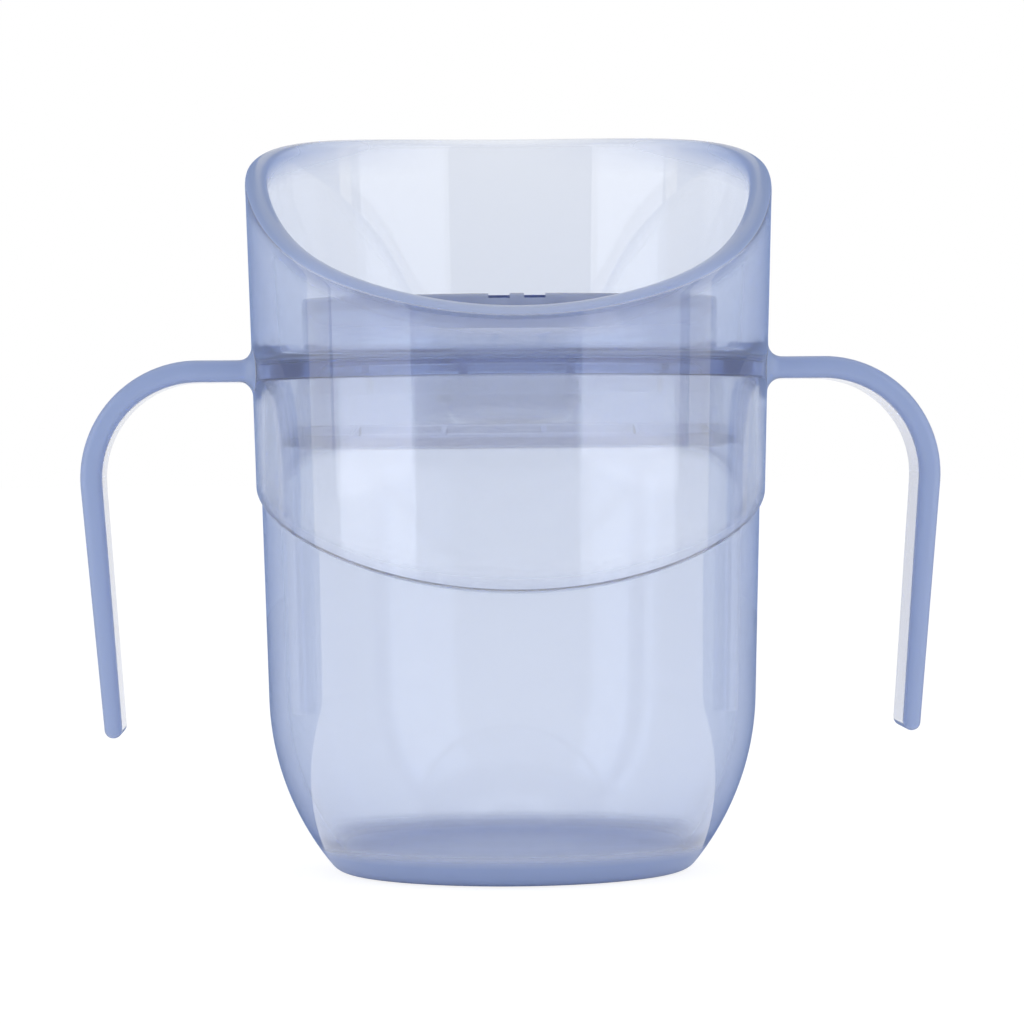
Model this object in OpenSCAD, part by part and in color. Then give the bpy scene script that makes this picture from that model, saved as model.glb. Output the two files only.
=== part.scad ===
// Two-handled training cup in millimetres.
// A reservoir cup carries a push-on drinking collar with a high back and two open strap handles.
// A lift-out limiter in the collar lets the drink through in small doses.
// The cup stands on z = 0, its axis is Z and the low drinking lip faces -Y.

/* [Reservoir cup] */
// Outer radius of the wall, carried up to the height of the rim
cup_r = 37.2; // [35:0.1:40]
// Height of the rim
cup_h = 72.5; // [68:0.5:76]
// Outward lean of the wall, in degrees
cup_draft = 1.6; // [0.8:0.1:2]
// Thickness of the wall
cup_wall = 2.7; // [2.2:0.1:3]
// Thickness of the floor
cup_floor = 2.8; // [2:0.1:4]
// Radius of the flat that the cup stands on
base_r = 24.5; // [21:0.5:27]
// Rounding from the flat into the belly
foot_round = 3; // [1:0.5:6]
// Radius of the belly's curve
belly_round = 40; // [34:1:48]
// Rounding of the inside corner at the floor
floor_round = 4; // [2:0.5:8]
// Rounding of the rim's two edges
cup_lip_round = 0.5; // [0.2:0.1:0.7]
// Depth of the neck that the collar's sleeve slides over
neck_step = 1.1; // [0.8:0.1:1.4]

/* [Drinking collar] */
// Thickness of the sleeve at the height of the web
sleeve_wall = 1.75; // [1.4:0.05:2.6]
// Outward lean of the collar's outside, in degrees
collar_draft = 1.6; // [0.5:0.1:2.2]
// Radial gap between the sleeve and the neck
slide_gap = 0.1; // [0.05:0.05:0.3]
// Gap along the seam between the sleeve and the cup's ledge
seam_gap = 0.15; // [0.1:0.05:0.4]
// Height of the seam at the front
seam_front_h = 42.1; // [38:0.1:50]
// Height of the seam at the back
seam_back_h = 66; // [58:0.5:68]
// Rise of the seam's curve above its own chord
seam_bulge = 2.9; // [1.5:0.1:4]
// Height of the high back
back_h = 110.6; // [104:0.1:116]
// Height of the low drinking lip
lip_h = 81.5; // [79:0.1:86]
// Rise of the rim's curve above its own chord
rim_bulge = 7; // [4:0.1:9]
// Dip of the rim's front flanks below that curve
rim_dip = 3.2; // [0:0.1:4]
// Thickness of the bowl's wall at the top of the back
rim_wall = 3; // [2.2:0.1:3.4]
// Thickness of the bowl's wall where it meets the web
bowl_foot_wall = 4.2; // [3:0.1:4.6]
// Rounding between the bowl's wall and the web
bowl_fillet = 1.6; // [0.5:0.1:2.2]
// Thickness of the cross web
web_t = 2.4; // [1.6:0.1:3]

/* [Handles] */
// Distance from the axis to the outside of a handle
handle_reach = 63; // [58:0.5:70]
// Height of a handle's tip above the table
handle_tip_h = 20.2; // [12:0.1:34]
// Thickness of the strap at its root
handle_t = 3.2; // [2.6:0.1:4]
// Thickness of the strap at its tip
handle_tip_t = 2.6; // [2:0.1:3.4]
// Width of the strap
handle_w = 13; // [8:0.5:16]
// Inside radius of the bend
handle_bend = 14; // [9:0.5:16]
// Inward lean of the leg, in degrees
handle_lean = 4.6; // [0:0.2:7]
// Rounding of the strap's long edges
handle_edge = 1.2; // [0.6:0.1:1.3]
// Fillet between the strap and the collar
handle_fillet = 2; // [1:0.1:3]

/* [Seal plug] */
// Clearance between the end of the plug skirt and the cup's wall
plug_clear = 2.6; // [2.2:0.1:3]
// Thickness of the plug skirt
plug_wall = 2; // [1.6:0.1:2.2]
// Length of the plug skirt below the web
plug_len = 10.4; // [8.5:0.1:14]
// Depth of the seal's groove in the plug skirt
groove_depth = 0.5; // [0.3:0.1:0.8]
// Height of the seal's groove
groove_h = 3; // [2.4:0.1:3.6]
// Height of the bead under the seal's groove
bead_h = 0.4; // [0.3:0.1:0.8]
// Thickness of the seal's sleeve outside the plug skirt
seal_sleeve = 0.7; // [0.5:0.1:1]
// Thickness of the seal's wiping lip
seal_lip_t = 1.5; // [0.8:0.1:1.8]
// Gap between the seal's lip and the cup's wall
seal_gap = 0.1; // [0.05:0.05:0.2]
// Number of gussets round the seal
gusset_n = 15; // [8:1:24]
// Thickness of a gusset
gusset_t = 0.8; // [0.5:0.1:1.5]

/* [Flow limiter] */
// Width of the web that the cap covers round the bore
cap_seat = 1; // [0.8:0.1:1.5]
// Height of the cap's top above the web
cap_h = 9; // [7.5:0.1:11]
// Thickness of the cap's wall
cap_wall = 1.8; // [1.4:0.1:2.2]
// Thickness of the cap's top
cap_plate = 2; // [1.4:0.1:2.6]
// Rounding of the cap's top edge
cap_round = 0.6; // [0.2:0.1:1.2]
// Width of a dosing spout
spout_w = 3; // [2:0.1:4]
// Depth of a dosing spout
spout_d = 0.7; // [0.4:0.1:1]
// Length of a dosing spout
spout_l = 9; // [6:0.5:14]
// Distance between the two dosing spouts
spout_pitch = 5; // [4.5:0.1:8]
// Length of the hole at the inner end of a spout
outlet_l = 2; // [1:0.1:3]
// Radial gap between the cap and the tray's wall
cap_gap = 0.1; // [0.05:0.05:0.2]
// Thickness of the tray's wall
tray_wall = 1.8; // [1.4:0.1:2.2]
// Thickness of the tray's floor
tray_floor = 1.7; // [1.3:0.1:2.2]
// Thickness of the tray's flange on the web
flange_t = 1; // [0.8:0.1:1.2]
// Radial gap between the tray's plug and the collar's bore
bore_gap = 0.15; // [0.1:0.05:0.3]
// Length of the tray's plug below the web's top
tray_plug_l = 5.1; // [4.6:0.1:7]
// Thickness of the tray's plug
tray_plug_wall = 2.4; // [2.1:0.1:2.8]
// Depth of the ring's groove in the tray's plug
ring_groove = 1.2; // [0.9:0.1:1.3]
// Gap all round the ring in its groove
ring_gap = 0.02; // [0.01:0.01:0.05]
// Number of ribs under the tray's floor
rib_n = 12; // [6:1:20]
// Thickness of a rib
rib_t = 1.2; // [0.8:0.1:1.6]

/* [Dosing valve] */
// Outer radius of the holder under the tray's floor
holder_r = 11.2; // [10:0.1:13]
// Thickness of the holder
holder_wall = 1.4; // [1:0.1:1.8]
// Thickness of the silicone
valve_wall = 1.2; // [0.8:0.1:1.5]
// Thickness of the valve's flange
valve_flange_t = 1; // [0.8:0.1:1.4]
// Rounding of the dome
dome_round = 3.2; // [2:0.1:4]
// Length of each cut of the cross slit
slit_l = 9; // [4:0.5:11]
// Width of each cut of the cross slit
slit_w = 0.3; // [0.2:0.1:0.5]

/* [Hidden] */
$fn = 96;

shell_blue = [0.62, 0.69, 0.86, 0.6];
limiter_blue = [0.66, 0.72, 0.88, 0.6];
silicone_white = [0.86, 0.89, 0.95, 0.8];

// How far a cutter runs past what it cuts
over = 5;
// How far one solid sinks into another that it is moulded with
weld = 0.3;
// Clearance of silicone seated on plastic
seat_gap = 0.02;
arc_steps = 16;

// Heights up the axis
web_z = cup_h;
web_top = web_z + web_t;
plug_end = web_z - plug_len;
tray_top = web_top + flange_t;
tray_under = tray_top - tray_floor;
tray_end = web_top - tray_plug_l;
cap_top = web_top + cap_h;
plate_under = cap_top - cap_plate;
handle_z = web_z + web_t / 2;

// Radii from the axis
neck_r = cup_r - neck_step;
sleeve_in = neck_r + slide_gap;
web_r = sleeve_in + sleeve_wall;
plug_r = cup_in(plug_end) - plug_clear;
bore_r = plug_r - plug_wall;
cap_r = bore_r + cap_seat;
cap_in = cap_r - cap_wall;
tray_r = cap_in - cap_gap;
chamber_r = tray_r - tray_wall;
tray_plug_r = bore_r - bore_gap;
holder_in = holder_r - holder_wall;
valve_body_r = holder_in - seat_gap;
valve_in = valve_body_r - valve_wall;
dome_flat = valve_in + valve_wall - dome_round;
flange_r = cap_r - cap_gap;

function arc(centre, r, from, to) = [
    for (i = [0:arc_steps])
        let (a = from + (to - from) * i / arc_steps)
        centre + r * [cos(a), sin(a)]
];

function reversed(list) = [for (i = [len(list) - 1:-1:0]) list[i]];

// The cup's outline: a flat, a foot curve, a belly curve and a leaning wall, each tangent to the next
wall_up = [sin(cup_draft), cos(cup_draft)];
wall_in = [-cos(cup_draft), sin(cup_draft)];
wall_end = [cup_r, cup_h];
foot_c = [base_r, foot_round];
belly_to_foot = wall_end + belly_round * wall_in - foot_c;
belly_along = belly_to_foot * wall_up;
belly_reach = belly_round - foot_round;
belly_drop = -belly_along + sqrt(
    belly_along * belly_along - belly_to_foot * belly_to_foot + belly_reach * belly_reach
);
belly_c = wall_end + belly_round * wall_in + belly_drop * wall_up;
foot_dir = foot_c - belly_c;
foot_angle = atan2(foot_dir[1], foot_dir[0]);
hollow_round = belly_round - cup_wall;
floor_reach = hollow_round - floor_round;
floor_z = cup_floor + floor_round;
floor_side = sqrt(floor_reach * floor_reach - pow(belly_c[1] - floor_z, 2));
floor_c = [belly_c[0] + floor_side, floor_z];
floor_dir = floor_c - belly_c;
floor_angle = atan2(floor_dir[1], floor_dir[0]);

function cup_in(z) = cup_r - cup_wall / cos(cup_draft) - (cup_h - z) * tan(cup_draft);

function cup_outside() = concat(
    [[0, 0]],
    arc(foot_c, foot_round, -90, foot_angle),
    arc(belly_c, belly_round, foot_angle, -cup_draft),
    [wall_end, [0, cup_h]]
);

function cup_hollow() = concat(
    [[0, cup_floor]],
    arc(floor_c, floor_round, -90, floor_angle),
    arc(belly_c, hollow_round, floor_angle, -cup_draft),
    [[cup_in(cup_h + over), cup_h + over], [0, cup_h + over]]
);

// Cutter outlines that round a rim's outer and inner edge
function outer_rounding(r, z, e) = concat(
    arc([r - e, z - e], e, 0, 90),
    [[r - e, z + e], [r + e, z + e], [r + e, z - e]]
);

function inner_rounding(r, z, e) = concat(
    arc([r + e, z - e], e, 90, 180),
    [[r - e, z - e], [r - e, z + e], [r + e, z + e]]
);

// The collar's outside and the inside of its bowl are straight in section
function collar_out(z) = web_r + (z - web_z) * tan(collar_draft);
bowl_low = collar_out(web_top) - bowl_foot_wall;
bowl_high = collar_out(back_h) - rim_wall;
bowl_lean = (bowl_high - bowl_low) / (back_h - web_top);
function bowl_in(z) = bowl_low + (z - web_top) * bowl_lean;

// A drum lies along X and its skin follows a curved edge from front to back
function drum_radius(front, back, bulge) =
    let (half = norm(back - front) / 2)
    (half * half + bulge * bulge) / (2 * bulge);

function drum_centre(front, back, bulge) =
    let (dir = (back - front) / norm(back - front))
    (front + back) / 2 + (bulge - drum_radius(front, back, bulge)) * [-dir[1], dir[0]];

rim_front = [-collar_out(lip_h), lip_h];
rim_back = [collar_out(back_h), back_h];
seam_front = [-collar_out(seam_front_h), seam_front_h];
seam_back = [collar_out(seam_back_h), seam_back_h];
drum_l = 4 * cup_r;

module drum(front, back, bulge, shrink = 0) {
    centre = drum_centre(front, back, bulge);
    translate([0, centre[0], centre[1]])
        rotate([0, 90, 0])
            cylinder(r = drum_radius(front, back, bulge) - shrink, h = drum_l, center = true);
}

// What the collar covers: everything outside the neck and above the seam
module neck_cut() {
    difference() {
        cylinder(r = cup_r + over, h = cup_h + over);
        cylinder(r = neck_r, h = cup_h + 2 * over);
        drum(seam_front, seam_back, seam_bulge, seam_gap);
    }
}

module reservoir_cup() {
    color(shell_blue)
    difference() {
        rotate_extrude() polygon(cup_outside());
        rotate_extrude() polygon(cup_hollow());
        neck_cut();
        rotate_extrude() polygon(outer_rounding(neck_r, cup_h, cup_lip_round));
        rotate_extrude() polygon(inner_rounding(cup_in(cup_h), cup_h, cup_lip_round));
    }
}

sleeve_low = seam_front_h - over;
collar_high = back_h + over;
groove_low = plug_end + bead_h;
fillet_c = [bowl_in(web_top + bowl_fillet) - bowl_fillet, web_top + bowl_fillet];

function collar_outline() = concat(
    [
        [collar_out(sleeve_low), sleeve_low],
        [collar_out(collar_high), collar_high],
        [bowl_in(collar_high), collar_high]
    ],
    arc(fillet_c, bowl_fillet, 0, -90),
    [
        [bore_r, web_top],
        [bore_r, plug_end],
        [plug_r, plug_end],
        [plug_r, groove_low],
        [plug_r - groove_depth, groove_low],
        [plug_r - groove_depth, groove_low + groove_h],
        [plug_r, groove_low + groove_h],
        [plug_r, web_z],
        [sleeve_in, web_z],
        [sleeve_in, sleeve_low]
    ]
);

// The rim is a full round along the curved edge. Its cutter is an arch-shaped ring whose hollow is the round.
rim_c = drum_centre(rim_front, rim_back, rim_bulge);
rim_drum = drum_radius(rim_front, rim_back, rim_bulge);
rim_steps = 72;
rim_arc_steps = 8;
rim_flare = 1.04;

// Between the lip and the sides the rim dips below the drum's curve in one smooth wave
dip_y = -0.55 * collar_out(lip_h);
dip_half = 0.68 * collar_out(lip_h);
function dip_at(y) =
    let (reach = (y - dip_y) / dip_half)
    abs(reach) < 1 ? rim_dip * pow(cos(90 * reach), 2) : 0;

function rim_z(y) = rim_c[1] + sqrt(rim_drum * rim_drum - pow(y - rim_c[0], 2)) - dip_at(y);

function rim_mid(a, r, rounds = 3) =
    let (z = rim_z(r * sin(a)))
    rounds == 0 ? r : rim_mid(a, (collar_out(z) + bowl_in(z)) / 2, rounds - 1);

function rim_arch(a) =
    let (
        r = rim_mid(a, web_r),
        z = rim_z(r * sin(a)),
        round = rim_flare * (collar_out(z) - bowl_in(z)) / 2,
        side = round + over
    )
    concat(
        [[r + side, z - round]],
        [
            for (i = [0:rim_arc_steps])
                let (t = 180 * i / rim_arc_steps)
                [r + round * cos(t), z - round + round * sin(t)]
        ],
        [[r - side, z - round], [r - side, collar_high + over], [r + side, collar_high + over]]
    );

module rim_cutter() {
    turns = [for (j = [0:rim_steps - 1]) 360 * j / rim_steps];
    points = [for (a = turns, p = rim_arch(a)) [p[0] * cos(a), p[0] * sin(a), p[1]]];
    n = len(rim_arch(0));
    polyhedron(points, [
        for (j = [0:rim_steps - 1], i = [0:n - 1])
            let (
                next = ((j + 1) % rim_steps) * n,
                k = (i + 1) % n,
                a = j * n + i,
                b = next + i,
                c = next + k,
                d = j * n + k
            )
            each [[a, b, c], [a, c, d]]
    ]);
}

module drinking_collar() {
    color(shell_blue)
    difference() {
        rotate_extrude() polygon(collar_outline());
        difference() {
            drum(seam_front, seam_back, seam_bulge);
            cylinder(r = neck_r, h = cup_h + over);
        }
        rim_cutter();
    }
}

// The strap follows a straight root, a bend and a leaning leg in the XZ plane.
// A station is [x, z, heading in degrees, half thickness, half width].
strap_mid = handle_bend + handle_t / 2;
bend_c = [handle_reach - handle_t - handle_bend, handle_z - strap_mid];
root_x = collar_out(handle_z);
// The root starts so deep that the round wall covers its whole width.
root_half = handle_w / 2 + handle_fillet;
root_over = 0.15;
root_sink = root_x - sqrt(root_x * root_x - root_half * root_half) + root_over;
leg_top = bend_c + strap_mid * [cos(handle_lean), -sin(handle_lean)];
leg_dir = [-sin(handle_lean), -cos(handle_lean)];
tip_round = handle_tip_t / 2;
leg_l = (leg_top[1] - handle_tip_h - tip_round) / cos(handle_lean);
root_steps = 6;
bend_steps = 16;
leg_steps = 6;
tip_steps = 5;

function flare(s) =
    let (d = max(0, handle_fillet - max(0, s)))
    handle_fillet - sqrt(handle_fillet * handle_fillet - d * d);

function root_station(s) =
    [root_x + s, handle_z, 0, handle_t / 2 + flare(s), handle_w / 2 + flare(s)];

function leg_station(s) =
    let (p = leg_top + s * leg_dir, part = s / leg_l)
    [p[0], p[1], -90 - handle_lean, (handle_t + (handle_tip_t - handle_t) * part) / 2, handle_w / 2];

function tip_station(a) =
    let (p = leg_top + (leg_l + tip_round * sin(a)) * leg_dir, lost = tip_round * (1 - cos(a)))
    [p[0], p[1], -90 - handle_lean, tip_round - lost, handle_w / 2 - lost];

function strap_stations() = concat(
    [root_station(-root_sink)],
    [for (i = [0:root_steps]) root_station(handle_fillet * (1 - cos(90 * i / root_steps)))],
    [
        for (i = [0:bend_steps])
            let (a = 90 - (90 + handle_lean) * i / bend_steps, p = bend_c + strap_mid * [cos(a), sin(a)])
            [p[0], p[1], a - 90, handle_t / 2, handle_w / 2]
    ],
    [for (i = [1:leg_steps]) leg_station(leg_l * i / leg_steps)],
    [for (i = [1:tip_steps]) tip_station(80 * i / tip_steps)]
);

corner_steps = 4;
section_n = 4 * (corner_steps + 1);

// A rounded rectangle across the strap: first across the width, then through the thickness
function strap_section(half_t, half_w) =
    let (e = min(handle_edge, half_t * 0.9))
    [
        for (k = [0:3], i = [0:corner_steps])
            let (
                a = 90 * k + 90 * i / corner_steps,
                side = (k == 0 || k == 3) ? 1 : -1,
                top = (k < 2) ? 1 : -1
            )
            [side * (half_w - e) + e * cos(a), top * (half_t - e) + e * sin(a)]
    ];

function strap_ring(s) = [
    for (p = strap_section(s[3], s[4]))
        [s[0] - p[1] * sin(s[2]), p[0], s[1] + p[1] * cos(s[2])]
];

module strap() {
    rings = [for (s = strap_stations()) strap_ring(s)];
    last = len(rings) - 1;
    points = [for (r = rings) each r];
    sides = [
        for (j = [0:last - 1], i = [0:section_n - 1])
            let (
                a = j * section_n + i,
                b = j * section_n + (i + 1) % section_n,
                c = b + section_n,
                d = a + section_n
            )
            each [[a, b, c], [a, c, d]]
    ];
    near = [for (i = [section_n - 1:-1:0]) i];
    far = [for (i = [0:section_n - 1]) last * section_n + i];
    polyhedron(points, concat(sides, [near, far]));
}

module handle() {
    low = handle_z - handle_t - handle_fillet;
    high = handle_z + handle_t + handle_fillet;
    color(shell_blue)
    difference() {
        strap();
        translate([0, 0, low])
            cylinder(r1 = collar_out(low), r2 = collar_out(high), h = high - low);
    }
}

module right_handle() {
    handle();
}

module left_handle() {
    mirror([1, 0, 0]) handle();
}

seal_low = groove_low + seat_gap;
seal_high = groove_low + groove_h - seat_gap;
seal_in = plug_r - groove_depth + seat_gap;
seal_r = plug_r + seal_sleeve;
lip_r = cup_in(seal_low) - seal_gap;
lip_top = seal_low + seal_lip_t;

module plug_seal() {
    color(silicone_white) {
        rotate_extrude()
            polygon([
                [seal_in, seal_low],
                [lip_r, seal_low],
                [lip_r, lip_top],
                [seal_r, lip_top],
                [seal_r, seal_high],
                [seal_in, seal_high]
            ]);
        for (i = [0:gusset_n - 1])
            rotate([0, 0, 360 * (i + 0.5) / gusset_n])
                rotate([90, 0, 0])
                    translate([0, 0, -gusset_t / 2])
                        linear_extrude(gusset_t)
                            polygon([
                                [seal_r - weld, lip_top - weld],
                                [lip_r - weld, lip_top - weld],
                                [lip_r - weld, lip_top],
                                [seal_r, seal_high],
                                [seal_r - weld, seal_high]
                            ]);
    }
}

ring_d = ring_groove + bore_gap - 2 * ring_gap;
ring_r = tray_plug_r - ring_groove + ring_gap + ring_d / 2;
ring_z = (web_top + tray_end) / 2;
ring_half = ring_d / 2 + ring_gap;

module limiter_base() {
    tray_plug_in = tray_plug_r - tray_plug_wall;
    groove_r = tray_plug_r - ring_groove;
    color(limiter_blue) {
        rotate_extrude()
            polygon([
                [valve_in, tray_top],
                [chamber_r, tray_top],
                [chamber_r, plate_under - cap_gap],
                [tray_r, plate_under - cap_gap],
                [tray_r, tray_top],
                [flange_r, tray_top],
                [flange_r, web_top],
                [tray_plug_r, web_top],
                [tray_plug_r, ring_z + ring_half],
                [groove_r, ring_z + ring_half],
                [groove_r, ring_z - ring_half],
                [tray_plug_r, ring_z - ring_half],
                [tray_plug_r, tray_end],
                [tray_plug_in, tray_end],
                [tray_plug_in, tray_under],
                [holder_r, tray_under],
                [holder_r, tray_end],
                [holder_in, tray_end],
                [holder_in, tray_under],
                [valve_in, tray_under]
            ]);
        for (i = [0:rib_n - 1])
            rotate([0, 0, 360 * (i + 0.5) / rib_n])
                translate([holder_r - weld, -rib_t / 2, tray_end])
                    cube([tray_plug_in - holder_r + 2 * weld, rib_t, tray_under - tray_end + weld]);
    }
}

module limiter_o_ring() {
    color(silicone_white)
    translate([0, 0, ring_z])
        rotate_extrude()
            translate([ring_r, 0]) circle(d = ring_d);
}

module dosing_valve() {
    flange_low = tray_end - valve_flange_t;
    dome_c = [dome_flat, flange_low];
    dome_low = flange_low - dome_round;
    color(silicone_white)
    difference() {
        rotate_extrude()
            polygon(concat(
                [
                    [valve_in, tray_under - seat_gap],
                    [valve_body_r, tray_under - seat_gap],
                    [valve_body_r, tray_end - seat_gap],
                    [holder_r, tray_end - seat_gap],
                    [holder_r, flange_low],
                    [dome_flat + dome_round, flange_low]
                ],
                arc(dome_c, dome_round, 0, -90),
                [[0, dome_low], [0, dome_low + valve_wall]],
                reversed(arc(dome_c, dome_round - valve_wall, 0, -90))
            ));
        for (turn = [0, 90])
            rotate([0, 0, turn])
                translate([-slit_l / 2, -slit_w / 2, dome_low - over])
                    cube([slit_l, slit_w, valve_wall + 2 * over]);
    }
}

module limiter_cap() {
    spout_in = -cap_r + spout_l;
    color(limiter_blue)
    difference() {
        rotate_extrude()
            polygon(concat(
                [[0, plate_under], [cap_in, plate_under], [cap_in, tray_top], [cap_r, tray_top]],
                arc([cap_r - cap_round, cap_top - cap_round], cap_round, 0, 90),
                [[0, cap_top]]
            ));
        for (side = [-1, 1])
            translate([side * spout_pitch / 2 - spout_w / 2, 0, 0]) {
                translate([0, -cap_r - over, cap_top - spout_d])
                    cube([spout_w, spout_l + over, spout_d + over]);
                translate([0, spout_in - outlet_l, plate_under - over])
                    cube([spout_w, outlet_l, cap_plate + 2 * over]);
            }
    }
}

reservoir_cup();
drinking_collar();
left_handle();
right_handle();
plug_seal();
limiter_base();
limiter_o_ring();
dosing_valve();
limiter_cap();
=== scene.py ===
# %% [markdown]
# A two-handled training cup in translucent plastic.
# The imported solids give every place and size, and this lesson dresses them: each piece is drawn again as a
# smooth mesh in its solid's place, then gets its real material, and a white studio lights it.
# All lengths are in millimetres until a mesh is made, because the moulded sizes are round numbers there.

from math import atan2, cos, degrees, pi, radians, sin, sqrt, tan

import bmesh
import bpy
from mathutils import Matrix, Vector


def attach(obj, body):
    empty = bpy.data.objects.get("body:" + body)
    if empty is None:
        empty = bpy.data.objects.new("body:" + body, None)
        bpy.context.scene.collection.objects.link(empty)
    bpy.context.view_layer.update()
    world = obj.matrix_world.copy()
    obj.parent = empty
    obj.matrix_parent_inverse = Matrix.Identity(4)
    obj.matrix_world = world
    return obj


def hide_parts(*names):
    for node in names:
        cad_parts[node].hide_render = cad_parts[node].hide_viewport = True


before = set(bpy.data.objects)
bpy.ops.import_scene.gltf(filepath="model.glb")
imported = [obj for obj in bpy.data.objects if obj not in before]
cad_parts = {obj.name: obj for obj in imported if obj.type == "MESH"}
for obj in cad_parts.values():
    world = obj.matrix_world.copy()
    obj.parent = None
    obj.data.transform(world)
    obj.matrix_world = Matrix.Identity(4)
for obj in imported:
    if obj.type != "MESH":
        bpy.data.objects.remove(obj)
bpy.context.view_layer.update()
scene = bpy.context.scene
MM = 0.001

# %% [markdown]
# The camera comes first, so that every later look is taken from the photograph's place.
# A long lens stands well back at the height of the handles' roots and looks very slightly down: the back
# of the rim shows as an arch while the near lip shows as a sagging curve.
# The focal length is worked out from pixels, since the picture is 1024 pixels wide.

# %% Camera
PICTURE = 1024
FOCAL_PX = 4000
EYE_DISTANCE = 590.8
EYE_HEIGHT = 62.3
EYE_TURN = radians(-2)
HORIZON_PX = 447
AXIS_PX = 510.5
ROLL = radians(0.45)

camera_data = bpy.data.cameras.new("photo_camera")
camera_data.sensor_width = 36
camera_data.lens = camera_data.sensor_width * FOCAL_PX / PICTURE
camera_data.clip_start = 0.01
camera_data.clip_end = 50
camera = bpy.data.objects.new("photo_camera", camera_data)
scene.collection.objects.link(camera)
camera.location = Vector((sin(EYE_TURN), -cos(EYE_TURN), 0)) * EYE_DISTANCE * MM
camera.location.z = EYE_HEIGHT * MM
pan = (PICTURE / 2 - AXIS_PX) / FOCAL_PX
pitch = (PICTURE / 2 - HORIZON_PX) / FOCAL_PX
camera.rotation_euler = (pi / 2 - pitch, ROLL, EYE_TURN - pan)
scene.camera = camera
print(f"lens {camera_data.lens:.1f} mm, pitch {degrees(pitch):.2f} degrees down")

# %% [markdown]
# The driving sizes of the mouldings are the ones that the solids were built from.
# A wall is straight in section with a slight lean, called draft, which lets the moulding leave its mould.

# %% Driving sizes
CUP_R, CUP_H, CUP_WALL, CUP_FLOOR = 37.2, 72.5, 2.7, 2.8
BASE_R, FOOT_ROUND, BELLY_ROUND, FLOOR_ROUND = 24.5, 3, 40, 4
NECK_STEP, SLIDE_GAP, SEAM_GAP = 1.1, 0.1, 0.15
SLEEVE_WALL, WEB_T, BACK_H, LIP_H = 1.75, 2.4, 110.6, 81.5
SEAM_FRONT_H, SEAM_BACK_H, SEAM_BULGE, RIM_BULGE, RIM_DIP = 42.1, 66, 2.9, 7, 3.2
RIM_WALL, BOWL_FOOT_WALL, BOWL_FILLET = 3, 4.2, 1.6
PLUG_CLEAR, PLUG_WALL, PLUG_LEN = 2.6, 2, 10.4
DRAFT = radians(1.6)

NECK_R = CUP_R - NECK_STEP
SLEEVE_IN = NECK_R + SLIDE_GAP
WEB_R = SLEEVE_IN + SLEEVE_WALL
WEB_Z = CUP_H
WEB_TOP = WEB_Z + WEB_T
PLUG_END = WEB_Z - PLUG_LEN


def cup_in(z):
    return CUP_R - CUP_WALL / cos(DRAFT) - (CUP_H - z) * tan(DRAFT)


def collar_out(z):
    return WEB_R + (z - WEB_Z) * tan(DRAFT)


BOWL_LOW = collar_out(WEB_TOP) - BOWL_FOOT_WALL
BOWL_LEAN = (collar_out(BACK_H) - RIM_WALL - BOWL_LOW) / (BACK_H - WEB_TOP)


def bowl_in(z):
    return BOWL_LOW + (z - WEB_TOP) * BOWL_LEAN


PLUG_R = cup_in(PLUG_END) - PLUG_CLEAR
BORE_R = PLUG_R - PLUG_WALL
print(f"web at {WEB_Z} to {WEB_TOP:.1f} mm, plug radius {PLUG_R:.2f} mm, bore radius {BORE_R:.2f} mm")

# %% [markdown]
# Nearly every piece of the cup is round, so its shape is an outline turned about the axis.
# A Screw modifier could turn a curve, but the rim and the seam change height on the way round, so the
# outline is asked for again at every angle.
# Real mouldings have no sharp corners: each corner gets a small arc, with a support point on either side
# that keeps the smooth shading of the long faces flat.

# %% Outlines and turned pieces
ARC_STEPS = 5
TURNS = 216


def arc(centre, r, start, end, steps):
    angles = [radians(start + (end - start) * i / steps) for i in range(steps + 1)]
    return [(centre[0] + r * cos(a), centre[1] + r * sin(a)) for a in angles]


def rows(start, end, count):
    """Points from start to end, without either end."""
    part = [(i + 1) / (count + 1) for i in range(count)]
    return [(start[0] + (end[0] - start[0]) * t, start[1] + (end[1] - start[1]) * t) for t in part]


def rounded_corner(before, corner, after, r):
    """The arc that rounds a corner, with a support point before and after it."""
    c = Vector(corner)
    to_before = Vector(before) - c
    to_after = Vector(after) - c
    u = to_before.normalized()
    v = to_after.normalized()
    half = u.angle(v) / 2
    reach = r / tan(half)
    centre = c + (u + v).normalized() * r / sin(half)
    first = c + u * reach
    last = c + v * reach
    start = atan2(first.y - centre.y, first.x - centre.x)
    sweep = atan2(last.y - centre.y, last.x - centre.x) - start
    sweep = (sweep + pi) % (2 * pi) - pi
    bend = arc(centre, r, degrees(start), degrees(start + sweep), ARC_STEPS)
    near = c + u * min(2 * reach, (reach + to_before.length / 2) / 2)
    far = c + v * min(2 * reach, (reach + to_after.length / 2) / 2)
    return [tuple(near)] + bend + [tuple(far)]


def outline(corners):
    """A closed outline from corners (r, z) or (r, z, rounding)."""
    points = []
    for i, corner in enumerate(corners):
        if len(corner) == 2:
            points.append(corner)
            continue
        before = corners[i - 1][:2]
        after = corners[(i + 1) % len(corners)][:2]
        points += rounded_corner(before, corner[:2], after, corner[2])
    return points


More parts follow.
